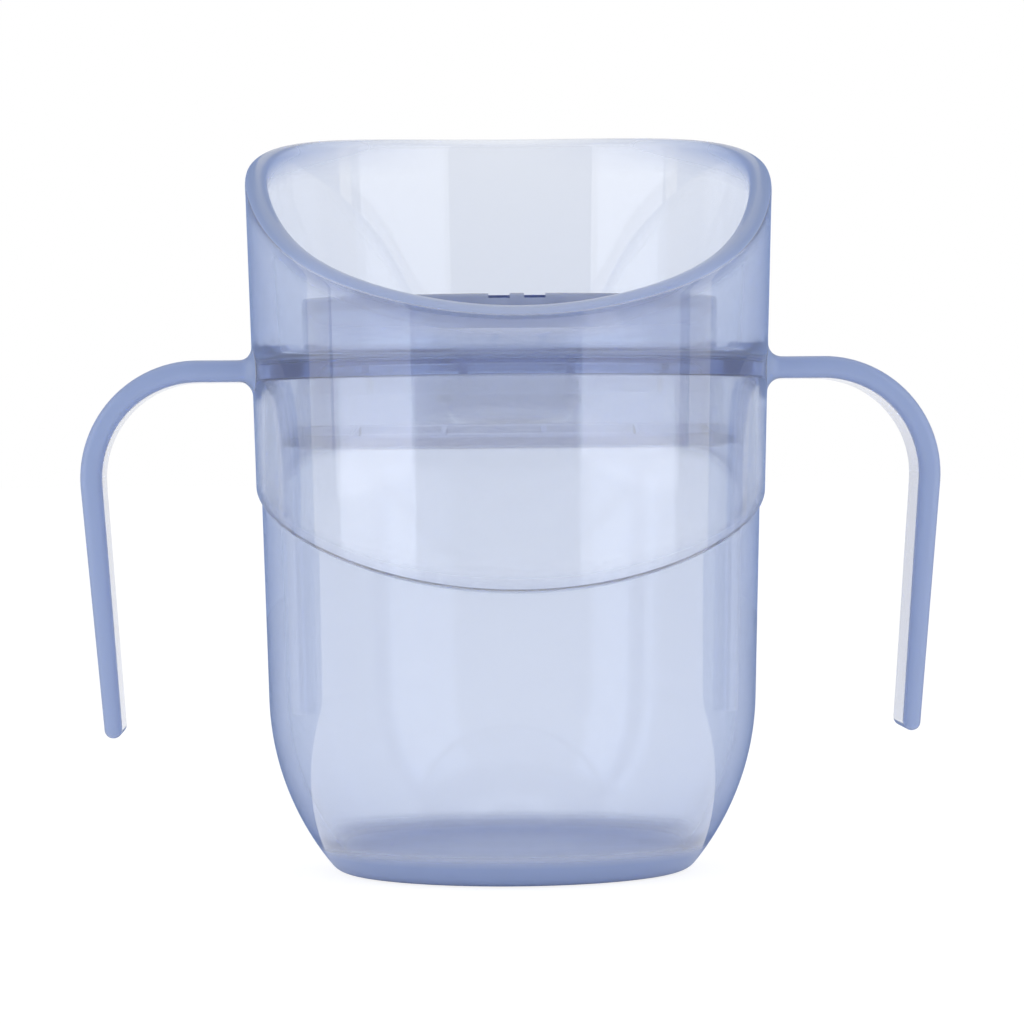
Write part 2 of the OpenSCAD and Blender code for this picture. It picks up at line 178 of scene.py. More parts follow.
def turned(section, closed, skip=()):
    """A bmesh of an outline turned about the axis; section(angle) gives (r, z) points in mm.

    An open outline starts and ends on the axis. The grid cells in skip are left out.
    """
    shape = bmesh.new()
    grid = []
    poles = {}
    for i in range(TURNS):
        turn = 2 * pi * i / TURNS
        column = []
        for j, (r, z) in enumerate(section(turn)):
            if r < 1e-6:
                if j not in poles:
                    poles[j] = shape.verts.new((0, 0, z * MM))
                column.append(poles[j])
            else:
                column.append(shape.verts.new((r * cos(turn) * MM, r * sin(turn) * MM, z * MM)))
        grid.append(column)
    count = len(grid[0])
    for i in range(TURNS):
        here = grid[i]
        there = grid[(i + 1) % TURNS]
        for j in range(count if closed else count - 1):
            if (i, j) in skip:
                continue
            k = (j + 1) % count
            corners = []
            for v in (here[j], there[j], there[k], here[k]):
                if v not in corners:
                    corners.append(v)
            shape.faces.new(corners)
    return shape, grid


def finished_piece(name, shape):
    """Turns a bmesh into a smooth-shaded object."""
    bmesh.ops.recalc_face_normals(shape, faces=shape.faces)
    for face in shape.faces:
        face.smooth = True
    mesh = bpy.data.meshes.new(name)
    shape.to_mesh(mesh)
    shape.free()
    piece = bpy.data.objects.new(name, mesh)
    scene.collection.objects.link(piece)
    low = [min(v.co[k] for v in mesh.vertices) / MM for k in range(3)]
    high = [max(v.co[k] for v in mesh.vertices) / MM for k in range(3)]
    size = " x ".join(f"{b - a:.2f}" for a, b in zip(low, high))
    print(f"{name}: {len(mesh.vertices)} points, {size} mm, z {low[2]:.2f} to {high[2]:.2f}")
    return piece


# %% [markdown]
# Two curved edges run round the collar: the rim climbs from the low drinking lip to the high back, and the
# seam on the reservoir cup sweeps down at the front.
# Both are cut by a large drum that lies across the cup, which is why they look like gentle arches from the
# side and like sagging curves from the front.

# %% Rim and seam curves


def drum(front, back, bulge):
    """Centre (y, z) and radius of the drum through a front and a back point (y, z)."""
    chord = Vector(back) - Vector(front)
    half = chord.length / 2
    r = (half * half + bulge * bulge) / (2 * bulge)
    middle = (Vector(front) + Vector(back)) / 2
    up = Vector((-chord.y, chord.x)).normalized()
    return middle + up * (bulge - r), r


def drum_height(cut, y, shrink=0):
    centre, r = cut
    return centre.y + sqrt((r - shrink) ** 2 - (y - centre.x) ** 2)


rim_cut = drum((-collar_out(LIP_H), LIP_H), (collar_out(BACK_H), BACK_H), RIM_BULGE)
seam_cut = drum(
    (-collar_out(SEAM_FRONT_H), SEAM_FRONT_H), (collar_out(SEAM_BACK_H), SEAM_BACK_H), SEAM_BULGE
)
DIP_PLACE, DIP_SPREAD = -0.55, 0.68
SETTLE_ROUNDS = 4
dip_y = DIP_PLACE * collar_out(LIP_H)
dip_half = DIP_SPREAD * collar_out(LIP_H)


def rim_height(y):
    """The rim follows its drum, and dips below it in one smooth wave between the lip and the sides."""
    reach = (y - dip_y) / dip_half
    dip = RIM_DIP * cos(pi / 2 * reach) ** 2 if abs(reach) < 1 else 0
    return drum_height(rim_cut, y) - dip


def settled(value, step):
    """A radius and a height that depend on each other, settled in a few rounds."""
    for _ in range(SETTLE_ROUNDS):
        value = step(value)
    return value


def rim_at(turn):
    """Middle radius, top height and half thickness of the rim."""
    def middle(r):
        z = rim_height(r * sin(turn))
        return (collar_out(z) + bowl_in(z)) / 2

    r = settled(WEB_R, middle)
    z = rim_height(r * sin(turn))
    return r, z, (collar_out(z) - bowl_in(z)) / 2


def seam_at(turn):
    """Height of the sleeve's lower edge on its outside and on its inside."""
    outside = settled(SEAM_BACK_H, lambda z: drum_height(seam_cut, collar_out(z) * sin(turn)))
    return outside, drum_height(seam_cut, SLEEVE_IN * sin(turn))


print(f"rim {rim_at(-pi / 2)[1]:.1f} mm high at the lip, {rim_at(pi / 2)[1]:.1f} mm at the back")

# %% [markdown]
# The reservoir cup is the part that holds the drink.
# Its outside is a flat foot, a tight foot curve, a wide belly curve and a leaning wall, each tangent to
# the next, and the inside follows one wall thickness further in.
# Above the seam the wall steps in to a neck that the collar slides over.

# %% Reservoir cup
LIP_ROUND = 0.5
EDGE_ROUND = 0.1
FLAT_ROWS, FOOT_STEPS, BELLY_STEPS = 4, 8, 26
WALL_ROWS, NECK_ROWS, HOLLOW_ROWS = 16, 8, 20
FOOT_C = Vector((BASE_R, FOOT_ROUND))
wall_up = Vector((sin(DRAFT), cos(DRAFT)))
wall_in = Vector((-cos(DRAFT), sin(DRAFT)))
wall_end = Vector((CUP_R, CUP_H))
to_foot = wall_end + BELLY_ROUND * wall_in - FOOT_C
along = to_foot.dot(wall_up)
drop = -along + sqrt(along**2 - to_foot.length_squared + (BELLY_ROUND - FOOT_ROUND) ** 2)
belly_c = wall_end + BELLY_ROUND * wall_in + drop * wall_up
foot_angle = degrees(atan2(FOOT_C.y - belly_c.y, FOOT_C.x - belly_c.x))
hollow_round = BELLY_ROUND - CUP_WALL
floor_z = CUP_FLOOR + FLOOR_ROUND
floor_c = Vector((belly_c.x + sqrt((hollow_round - FLOOR_ROUND) ** 2 - (belly_c.y - floor_z) ** 2), floor_z))
floor_angle = degrees(atan2(floor_c.y - belly_c.y, floor_c.x - belly_c.x))

foot_and_belly = (
    [(0, 0)]
    + rows((0, 0), (BASE_R, 0), FLAT_ROWS)
    + arc(FOOT_C, FOOT_ROUND, -90, foot_angle, FOOT_STEPS)
    + arc(belly_c, BELLY_ROUND, foot_angle, -degrees(DRAFT), BELLY_STEPS)[1:]
)
hollow = (
    arc(belly_c, hollow_round, -degrees(DRAFT), floor_angle, BELLY_STEPS)
    + arc(floor_c, FLOOR_ROUND, floor_angle, -90, FOOT_STEPS)[1:]
    + rows((floor_c.x, CUP_FLOOR), (0, CUP_FLOOR), FLAT_ROWS)
    + [(0, CUP_FLOOR)]
)


def cup_section(turn):
    ledge = settled(CUP_R, lambda z: drum_height(seam_cut, collar_out(z) * sin(turn), SEAM_GAP))
    step_in = drum_height(seam_cut, NECK_R * sin(turn), SEAM_GAP)
    wall_r = CUP_R - (CUP_H - ledge) * tan(DRAFT)
    top_of_belly = foot_and_belly[-1]
    start_of_hollow = hollow[0]
    ledge_corner = rounded_corner(top_of_belly, (wall_r, ledge), (NECK_R, step_in), EDGE_ROUND)
    root = rounded_corner((wall_r, ledge), (NECK_R, step_in), (NECK_R, CUP_H), EDGE_ROUND)
    lip_out = arc((NECK_R - LIP_ROUND, CUP_H - LIP_ROUND), LIP_ROUND, 0, 90, ARC_STEPS)
    lip_in = arc((cup_in(CUP_H) + LIP_ROUND, CUP_H - LIP_ROUND), LIP_ROUND, 90, 180, ARC_STEPS)
    return (
        foot_and_belly
        + rows(top_of_belly, ledge_corner[0], WALL_ROWS)
        + ledge_corner
        + root
        + rows(root[-1], lip_out[0], NECK_ROWS)
        + lip_out
        + lip_in
        + rows(lip_in[-1], start_of_hollow, HOLLOW_ROWS)
        + hollow
    )


shape, _ = turned(cup_section, closed=False)
reservoir = finished_piece("reservoir_shell", shape)
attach(reservoir, "reservoir")
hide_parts("reservoir_cup")

# %% [markdown]
# The drinking collar slides over the neck of the reservoir cup.
# It is one moulding: a sleeve, a cross web with a plug skirt under it, and a bowl whose wall ends in a
# full round rim.
# The two strap handles are part of the same moulding, so they are drawn into the same mesh: a small window
# is left in the collar's outside for each, and the strap grows out of it over a fillet.

# %% Collar outline
GROOVE_DEPTH, GROOVE_H, BEAD_H = 0.5, 3, 0.4
HANDLE_Z = WEB_Z + WEB_T / 2
WINDOW_HALF_H = 5
WINDOW_CELLS_UP = 8
WINDOW_CELLS_ROUND = 20
SLEEVE_ROWS, BOWL_ROWS = 10, 14
RIM_STEPS, FILLET_STEPS = 16, 6
SLEEVE_SUPPORT = 4
groove_low = PLUG_END + BEAD_H
groove_r = PLUG_R - GROOVE_DEPTH
fillet_top = WEB_TOP + BOWL_FILLET
fillet_c = (bowl_in(fillet_top) - BOWL_FILLET, fillet_top)
window_heights = [
    HANDLE_Z - WINDOW_HALF_H + 2 * WINDOW_HALF_H * i / WINDOW_CELLS_UP for i in range(WINDOW_CELLS_UP + 1)
]


def collar_section(turn):
    outside, inside = seam_at(turn)
    rim_r, rim_z, rim_half = rim_at(turn)
    rim_c = (rim_r, rim_z - rim_half)
    rim = arc(rim_c, rim_half, 0, 180, RIM_STEPS)
    foot = (collar_out(outside), outside)
    foot_in = (SLEEVE_IN, inside)
    window = [(collar_out(z), z) for z in window_heights]
    edge = rounded_corner(foot_in, foot, window[0], EDGE_ROUND)
    edge_in = rounded_corner((SLEEVE_IN, WEB_Z), foot_in, foot, EDGE_ROUND)
    under_web = outline(
        [
            (fillet_c[0], WEB_TOP),
            (BORE_R, WEB_TOP, 0.3),
            (BORE_R, PLUG_END, 0.3),
            (PLUG_R, PLUG_END, 0.15),
            (PLUG_R, groove_low, 0.1),
            (groove_r, groove_low, 0.1),
            (groove_r, groove_low + GROOVE_H, 0.1),
            (PLUG_R, groove_low + GROOVE_H, 0.1),
            (PLUG_R, WEB_Z, 0.4),
            (SLEEVE_IN, WEB_Z, 0.4),
            (SLEEVE_IN, inside + SLEEVE_SUPPORT),
        ]
    )
    return (
        edge
        + rows(edge[-1], window[0], SLEEVE_ROWS)
        + window
        + rows(window[-1], rim[0], BOWL_ROWS)
        + rim
        + rows(rim[-1], (bowl_in(fillet_top), fillet_top), BOWL_ROWS)
        + arc(fillet_c, BOWL_FILLET, 0, -90, FILLET_STEPS)
        + under_web[1:]
        + edge_in
    )


first_row = len(rounded_corner((0, 0), (1, 0), (1, 1), EDGE_ROUND)) + SLEEVE_ROWS
half_round = WINDOW_CELLS_ROUND // 2
window_cells = {
    ((centre + i) % TURNS, first_row + j)
    for centre in (0, TURNS // 2)
    for i in range(-half_round, half_round)
    for j in range(WINDOW_CELLS_UP)
}
shape, grid = turned(collar_section, closed=True, skip=window_cells)
print(f"outline of {len(grid[0])} points, {len(window_cells)} cells left open for the handles")

# %% [markdown]
# A strap handle is a flat band that leaves the collar level, bends down through a wide curve and ends in a
# free, rounded tip, so a small hand can slip in from below.
# A curve object with a bevel profile would also make it, but not the fillet into the round wall, so the
# band is lofted ring by ring: first rings on the wall itself, then the fillet, the level root, the bend,
# the leg and the tip.

# %% Strap handles
HANDLE_REACH, HANDLE_TIP_H = 63, 20.2
HANDLE_T, HANDLE_TIP_T, HANDLE_W = 3.2, 2.6, 13
HANDLE_BEND, HANDLE_LEAN = 14, radians(4.6)
HANDLE_EDGE, HANDLE_FILLET = 1.2, 2
EDGE_STEPS, ROOT_STEPS, LEVEL_STEPS, BEND_STEPS, LEG_STEPS, TIP_STEPS = 3, 8, 6, 28, 16, 7
TIP_SWEEP = 86
STRAP_MID = HANDLE_BEND + HANDLE_T / 2
bend_c = Vector((HANDLE_REACH - HANDLE_T - HANDLE_BEND, HANDLE_Z - STRAP_MID))


def band_ring(half_w, half_t, edge):
    """Points (across, through) round a band, matched to the window's cells side by side."""
    sides = [
        ((1, 0), (0, 1), half_w, half_t, WINDOW_CELLS_ROUND),
        ((0, -1), (1, 0), half_t, half_w, WINDOW_CELLS_UP),
        ((-1, 0), (0, -1), half_w, half_t, WINDOW_CELLS_ROUND),
        ((0, 1), (-1, 0), half_t, half_w, WINDOW_CELLS_UP),
    ]
    points = []
    for along, out, length, depth, cells in sides:
        corner = length - edge
        path = arc((-corner, depth - edge), edge, 135, 90, EDGE_STEPS)
        path += rows((-corner, depth), (corner, depth), cells - 2 * EDGE_STEPS - 1)
        path += arc((corner, depth - edge), edge, 90, 45, EDGE_STEPS)
        for s, d in path[:-1]:
            points.append((along[0] * s + out[0] * d, along[1] * s + out[1] * d))
    return points


def wall_x(y, z):
    return sqrt(collar_out(z) ** 2 - y * y)


def strap_rings():
    """Rings of (x, y, z) points of the right handle, from the wall to the tip."""
    half_w, half_t = HANDLE_W / 2, HANDLE_T / 2
    rings = []
    for i in range(ROOT_STEPS + 1):
        a = radians(90 * i / ROOT_STEPS)
        spread = HANDLE_FILLET * (1 - sin(a))
        lift = HANDLE_FILLET * (1 - cos(a))
        ring = band_ring(half_w + spread, half_t + spread, HANDLE_EDGE + spread)
        rings.append([(wall_x(y, HANDLE_Z + t) + lift, y, HANDLE_Z + t) for y, t in ring])
    level = band_ring(half_w, half_t, HANDLE_EDGE)
    for i in range(1, LEVEL_STEPS):
        share = i / LEVEL_STEPS
        ring = []
        for y, t in level:
            root_x = wall_x(y, HANDLE_Z + t) + HANDLE_FILLET
            ring.append((root_x * (1 - share) + bend_c.x * share, y, HANDLE_Z + t))
        rings.append(ring)
    stations = []
    for i in range(BEND_STEPS + 1):
        a = pi / 2 - (pi / 2 + HANDLE_LEAN) * i / BEND_STEPS
        x = bend_c.x + STRAP_MID * cos(a)
        z = bend_c.y + STRAP_MID * sin(a)
        stations.append((x, z, a - pi / 2, half_t, half_w))
    leg_x, leg_z, heading = stations[-1][:3]
    tip = HANDLE_TIP_T / 2
    leg = (leg_z - HANDLE_TIP_H - tip) / cos(HANDLE_LEAN)
    for i in range(1, LEG_STEPS + 1):
        run = leg * i / LEG_STEPS
        thin = half_t + (tip - half_t) * i / LEG_STEPS
        stations.append((leg_x + run * cos(heading), leg_z + run * sin(heading), heading, thin, half_w))
    for i in range(1, TIP_STEPS + 1):
        a = radians(TIP_SWEEP * i / TIP_STEPS)
        run = leg + tip * sin(a)
        lost = tip * (1 - cos(a))
        x = leg_x + run * cos(heading)
        z = leg_z + run * sin(heading)
        stations.append((x, z, heading, tip - lost, half_w - lost))
    for x, z, heading, thin, wide in stations:
        ring = band_ring(wide, thin, min(HANDLE_EDGE, 0.9 * thin))
        rings.append([(x - t * sin(heading), y, z + t * cos(heading)) for y, t in ring])
    return rings


def window_rim(centre, side):
    """The window's border points in the same order as a band ring."""
    low, high = first_row, first_row + WINDOW_CELLS_UP
    across = range(-half_round, half_round)
    cells = [(i, high) for i in across]
    cells += [(half_round, high - j) for j in range(WINDOW_CELLS_UP)]
    cells += [(-i, low) for i in across]
    cells += [(-half_round, low + j) for j in range(WINDOW_CELLS_UP)]
    return [grid[(centre + side * i) % TURNS][j] for i, j in cells]


for centre, side in ((0, 1), (TURNS // 2, -1)):
    last = window_rim(centre, side)
    for ring in strap_rings():
        verts = [shape.verts.new((side * x * MM, y * MM, z * MM)) for x, y, z in ring]
        for k, v in enumerate(verts):
            k_next = (k + 1) % len(verts)
            shape.faces.new((last[k], last[k_next], verts[k_next], v))
        last = verts
    shape.faces.new(last)

collar = finished_piece("collar_with_handles", shape)
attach(collar, "collar")
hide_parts("drinking_collar", "left_handle", "right_handle")

# %% [markdown]
# The limiter's tray drops into the collar's bore and holds one small dose.
# Its flange sits on the web, a plug with a ring groove goes down into the bore, and ribs stiffen its
# underside round the valve's holder.
# The ribs are joined to the turned body with an exact Boolean, so that light sees one solid and no inner
# skins.

# %% Limiter tray
CAP_SEAT, CAP_H, CAP_WALL, CAP_PLATE, CAP_GAP = 1, 9, 1.8, 2, 0.1
TRAY_WALL, TRAY_FLOOR, FLANGE_T = 1.8, 1.7, 1
BORE_GAP, TRAY_PLUG_L, TRAY_PLUG_WALL = 0.15, 5.1, 2.4
RING_GROOVE, RING_GAP = 1.2, 0.02
RIB_N, RIB_T = 12, 1.2
HOLDER_R, HOLDER_WALL, VALVE_WALL = 11.2, 1.4, 1.2
SEAT_GAP, WELD = 0.02, 0.3
SHARP_ANGLE = radians(38)
cap_r = BORE_R + CAP_SEAT
tray_r = cap_r - CAP_WALL - CAP_GAP
chamber_r = tray_r - TRAY_WALL
tray_top = WEB_TOP + FLANGE_T
tray_under = tray_top - TRAY_FLOOR
tray_end = WEB_TOP - TRAY_PLUG_L
tray_plug_r = BORE_R - BORE_GAP
tray_plug_in = tray_plug_r - TRAY_PLUG_WALL
cap_top = WEB_TOP + CAP_H
plate_under = cap_top - CAP_PLATE
holder_in = HOLDER_R - HOLDER_WALL
valve_body_r = holder_in - SEAT_GAP
valve_in = valve_body_r - VALVE_WALL
ring_d = RING_GROOVE + BORE_GAP - 2 * RING_GAP
ring_r = tray_plug_r - RING_GROOVE + RING_GAP + ring_d / 2
ring_z = (WEB_TOP + tray_end) / 2
ring_half = ring_d / 2 + RING_GAP


def turned_point(x, y, z, turn):
    """A point in mm, turned about the axis and given in metres."""
    return (x * cos(turn) - y * sin(turn)) * MM, (x * sin(turn) + y * cos(turn)) * MM, z * MM


def helper_solid(name, tool):
    """Turns a bmesh into an object that a Boolean can use."""
    bmesh.ops.recalc_face_normals(tool, faces=tool.faces)
    mesh = bpy.data.meshes.new(name)
    tool.to_mesh(mesh)
    tool.free()
    helper = bpy.data.objects.new(name, mesh)
    scene.collection.objects.link(helper)
    return helper


def block(name, low, high, turn=0):
    """A helper solid between two corners in mm, turned about the axis."""
    tool = bmesh.new()
    bmesh.ops.create_cube(tool, size=1)
    for v in tool.verts:
        x, y, z = ((low[k] + high[k]) / 2 + v.co[k] * (high[k] - low[k]) for k in range(3))
        v.co = turned_point(x, y, z, turn)
    return helper_solid(name, tool)


def combine(piece, helpers, operation):
    """Joins helper solids to a piece, or cuts them out of it, and removes the helpers."""
    for helper in helpers:
        modifier = piece.modifiers.new(helper.name, "BOOLEAN")
        modifier.operation = operation
        modifier.solver = "EXACT"
        modifier.object = helper
    bpy.context.view_layer.update()
    evaluated = piece.evaluated_get(bpy.context.evaluated_depsgraph_get())
    mesh = bpy.data.meshes.new_from_object(evaluated)
    mesh.name = piece.name
    piece.modifiers.clear()
    piece.data = mesh
    for helper in helpers:
        bpy.data.objects.remove(helper)
    mesh.polygons.foreach_set("use_smooth", [True] * len(mesh.polygons))
    mesh.set_sharp_from_angle(angle=SHARP_ANGLE)
    print(f"{piece.name}: {operation.lower()} with helpers, {len(mesh.polygons)} faces")


tray_outline = outline(
    [
        (valve_in, tray_top, 0.3),
        (chamber_r, tray_top, 0.5),
        (chamber_r, plate_under - CAP_GAP, 0.3),
        (tray_r, plate_under - CAP_GAP, 0.3),
        (tray_r, tray_top, 0.1),
        (cap_r - CAP_GAP, tray_top, 0.2),
        (cap_r - CAP_GAP, WEB_TOP, 0.2),
        (tray_plug_r, WEB_TOP, 0.1),
        (tray_plug_r, ring_z + ring_half, 0.1),
        (tray_plug_r - RING_GROOVE, ring_z + ring_half, 0.1),
        (tray_plug_r - RING_GROOVE, ring_z - ring_half, 0.1),
        (tray_plug_r, ring_z - ring_half, 0.1),
        (tray_plug_r, tray_end, 0.3),
        (tray_plug_in, tray_end, 0.3),
        (tray_plug_in, tray_under, 0.3),
        (HOLDER_R, tray_under, 0.3),
        (HOLDER_R, tray_end, 0.2),
        (holder_in, tray_end, 0.1),
        (holder_in, tray_under, 0.1),
        (valve_in, tray_under, 0.2),
    ]
)
shape, _ = turned(lambda turn: tray_outline, closed=True)
tray = finished_piece("limiter_tray", shape)
ribs = [
    block(
        f"rib_{i}",
        (HOLDER_R - WELD, -RIB_T / 2, tray_end),
        (tray_plug_in + WELD, RIB_T / 2, tray_under + WELD),
        2 * pi * (i + 0.5) / RIB_N,
    )
    for i in range(RIB_N)
]
combine(tray, ribs, "UNION")
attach(tray, "limiter")
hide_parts("limiter_base")

# %% [markdown]
# The cap closes the dosing chamber from above.
# Two short channels at its front edge, each with a slot at its inner end, let the dose run towards the lip.

# %% Limiter cap
CAP_ROUND = 0.6
PLATE_ROWS, PLATE_SUPPORT = 6, 3
SPOUT_W, SPOUT_D, SPOUT_L, SPOUT_PITCH, OUTLET_L = 3, 0.7, 9, 5, 2
OVER = 5
cap_outline = (
    [(0, plate_under)]
    + rows((0, plate_under), (cap_r - CAP_WALL, plate_under), PLATE_ROWS)
    + outline(
        [
            (cap_r - CAP_WALL - PLATE_SUPPORT, plate_under),
            (cap_r - CAP_WALL, plate_under, 0.2),
            (cap_r - CAP_WALL, tray_top, 0.2),
            (cap_r, tray_top, 0.2),
            (cap_r, cap_top, CAP_ROUND),
            (cap_r - PLATE_SUPPORT, cap_top),
        ]
    )[1:]
    + rows((cap_r - PLATE_SUPPORT, cap_top), (0, cap_top), PLATE_ROWS)
    + [(0, cap_top)]
)
shape, _ = turned(lambda turn: cap_outline, closed=False)
cap = finished_piece("limiter_cap_plate", shape)
cutters = []
for side in (-1, 1):
    left = side * SPOUT_PITCH / 2 - SPOUT_W / 2
    inner = -cap_r + SPOUT_L
    cutters.append(
        block("channel", (left, -cap_r - OVER, cap_top - SPOUT_D), (left + SPOUT_W, inner, cap_top + OVER))
    )
    cutters.append(
        block("outlet", (left, inner - OUTLET_L, plate_under - OVER), (left + SPOUT_W, inner, cap_top + OVER))
    )
combine(cap, cutters, "DIFFERENCE")
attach(cap, "cap")
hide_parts("limiter_cap")

# %% [markdown]
# Three soft silicone pieces keep the drink where it belongs.
# The dosing valve is a small dome with a cross slit, pushed into the tray's holder from below.
# The ring seals the tray in the bore, and the wiping seal on the plug skirt seals the collar in the cup.

# %% Silicone pieces
VALVE_FLANGE_T, DOME_ROUND, SLIT_L, SLIT_W = 1, 3.2, 9, 0.3
SEAL_SLEEVE, SEAL_LIP_T, SEAL_GAP, GUSSET_N, GUSSET_T = 0.7, 1.5, 0.1, 15, 0.8
GUSSET_DROP = 0.05
DOME_ROWS, DOME_STEPS, RING_STEPS = 3, 8, 24
flange_low = tray_end - VALVE_FLANGE_T
dome_flat = valve_body_r - DOME_ROUND
dome_c = (dome_flat, flange_low)
dome_low = flange_low - DOME_ROUND
valve_outline = (
    [(0, dome_low)]
    + rows((0, dome_low), (dome_flat, dome_low), DOME_ROWS)
    + arc(dome_c, DOME_ROUND, -90, 0, DOME_STEPS)[:-1]
    + outline(
        [
            (valve_body_r, flange_low, 0.1),
            (HOLDER_R, flange_low, 0.2),
            (HOLDER_R, tray_end - SEAT_GAP, 0.2),
            (valve_body_r, tray_end - SEAT_GAP, 0.1),
            (valve_body_r, tray_under - SEAT_GAP, 0.2),
            (valve_in, tray_under - SEAT_GAP, 0.2),
            (valve_in, flange_low + 0.5),
        ]
    )[1:]
    + arc(dome_c, DOME_ROUND - VALVE_WALL, 0, -90, DOME_STEPS)
    + rows((dome_flat, dome_low + VALVE_WALL), (0, dome_low + VALVE_WALL), DOME_ROWS)
    + [(0, dome_low + VALVE_WALL)]
)
shape, _ = turned(lambda turn: valve_outline, closed=False)
valve = finished_piece("dosing_valve_dome", shape)
slits = [
    block(
        "slit",
        (-SLIT_L / 2, -SLIT_W / 2, dome_low - OVER),
        (SLIT_L / 2, SLIT_W / 2, dome_low + VALVE_WALL + 1),
        turn,
    )
    for turn in (0, pi / 2)
]
combine(valve, slits, "DIFFERENCE")
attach(valve, "limiter")
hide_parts("dosing_valve")

ring_outline = arc((ring_r, ring_z), ring_d / 2, 0, 360, RING_STEPS)[:-1]
shape, _ = turned(lambda turn: ring_outline, closed=True)
o_ring = finished_piece("limiter_ring", shape)
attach(o_ring, "limiter")
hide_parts("limiter_o_ring")

seal_low = groove_low + SEAT_GAP
seal_high = groove_low + GROOVE_H - SEAT_GAP
seal_in = groove_r + SEAT_GAP
seal_r = PLUG_R + SEAL_SLEEVE
lip_r = cup_in(seal_low) - SEAL_GAP
lip_top = seal_low + SEAL_LIP_T
seal_outline = outline(
    [
        (seal_in, seal_low, 0.1),
        (lip_r, seal_low, 0.15),
        (lip_r, lip_top, 0.3),
        (seal_r, lip_top, 0.3),
        (seal_r, seal_high, 0.2),
        (seal_in, seal_high, 0.1),
    ]
)
shape, _ = turned(lambda turn: seal_outline, closed=True)
seal = finished_piece("wiping_seal", shape)


def gusset(i):
    """A small upright wing between the seal's sleeve and its lip."""
    turn = 2 * pi * (i + 0.5) / GUSSET_N
    profile = [
        (seal_r - WELD, lip_top - WELD),
        (lip_r - WELD, lip_top - WELD),
        (lip_r - WELD, lip_top),
        (seal_r, seal_high - GUSSET_DROP),
        (seal_r - WELD, seal_high - GUSSET_DROP),
    ]
    wing = bmesh.new()
    faces = []
    for side in (-GUSSET_T / 2, GUSSET_T / 2):
        faces.append([wing.verts.new(turned_point(r, side, z, turn)) for r, z in profile])
    wing.faces.new(faces[0])
    wing.faces.new(faces[1][::-1])
    for k in range(len(profile)):
        n = (k + 1) % len(profile)
        wing.faces.new((faces[0][k], faces[0][n], faces[1][n], faces[1][k]))
    return helper_solid(f"gusset_{i}", wing)


combine(seal, [gusset(i) for i in range(GUSSET_N)], "UNION")
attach(seal, "collar")
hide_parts("plug_seal")

# %% [markdown]
# The shells are polypropylene, injection moulded in polished tools with a little blue dye.
# Polypropylene is full of tiny crystals that scatter light, so it is never quite clear: thin walls let the
# eye through, while the rim, the foot and the edges of the straps look milky.
# A scattering volume would show this too, but few other programs can read one, so each point of the mesh
# carries its bulk instead: 0 on a thin wall, 1 where the plastic is deep.
# On the rim the bulk is also painted shade, deeper where the camera looks along the rim than at the back.

# %% Bulk of the plastic
RIM_BULK, LIP_BULK, FOOT_BULK, STRAP_FACE_BULK = 1.0, 0.75, 1.0, 0.55
FOOT_FADE, RIM_FADE, WEB_FADE, SEAM_FADE = (CUP_FLOOR, 5.5), (1.2, 6), (2, 3.5), (0.1, 0.4)
NECK_FADE, INNER_FADE, STRAP_FADE = (NECK_R - 0.6, NECK_R - 0.1), (SLEEVE_IN - 1.5, SLEEVE_IN), (0.05, 0.15)
STRAP_EDGE = (HANDLE_W / 2 - 1.5, HANDLE_W / 2 - 0.2)
PLATE_EDGE, PLATE_FADE = (cap_r - CAP_ROUND, cap_r - 0.2), (plate_under - 1.5, plate_under + 0.3)
WEB_BULK, SEAM_BULK, PLATE_BULK = 0.3, 0.6, 0.7


def eased(value, low, high):
    """0 below low, 1 above high and a smooth step between them."""
    t = min(max((value - low) / (high - low), 0), 1)
    return t * t * (3 - 2 * t)


def cup_bulk(x, y, z):
    foot = FOOT_BULK * (1 - eased(z, *FOOT_FADE))
    from_ledge = abs(z - drum_height(seam_cut, y, SEAM_GAP))
    on_ledge = eased(sqrt(x * x + y * y), *NECK_FADE)
    return max(foot, SEAM_BULK * on_ledge * (1 - eased(from_ledge, *SEAM_FADE)))


def collar_bulk(x, y, z):
    r = sqrt(x * x + y * y)
    turn = atan2(y, x)
    # The bowl's wall thins from 4 mm at the lip to 3 mm at the high back.
    # The rim's milky blue is partly its real depth and partly painted shade: it is deepest at the sides,
    # where the camera looks along the rim, and fades to clear at the back middle, where the camera looks
    # across it.
    depth = LIP_BULK + (RIM_BULK - LIP_BULK) * abs(cos(turn))
    # Painted shade: from the sides to the back middle the rim's milky blue fades to none.
    if y > 0:
        depth = RIM_BULK * cos(turn) ** 2
    rim = depth * (1 - eased(rim_at(turn)[1] - z, *RIM_FADE))
    web = WEB_BULK * (1 - eased(r, *INNER_FADE)) * (1 - eased(abs(z - HANDLE_Z), *WEB_FADE))
    seam = SEAM_BULK * (1 - eased(z - seam_at(turn)[0], *SEAM_FADE))
    # The outside of the wall keeps no bulk, and what stands out of it is strap.
    stands_out = r - collar_out(z)
    on_strap = eased(stands_out, *STRAP_FADE)
    at_edge = eased(abs(y), *STRAP_EDGE)
    strap = on_strap * (STRAP_FACE_BULK + (1 - STRAP_FACE_BULK) * at_edge)
    return strap if stands_out > 0 else max(rim, web, seam)


def cap_bulk(x, y, z):
    at_edge = eased(sqrt(x * x + y * y), *PLATE_EDGE)
    return PLATE_BULK * at_edge * eased(z, *PLATE_FADE)


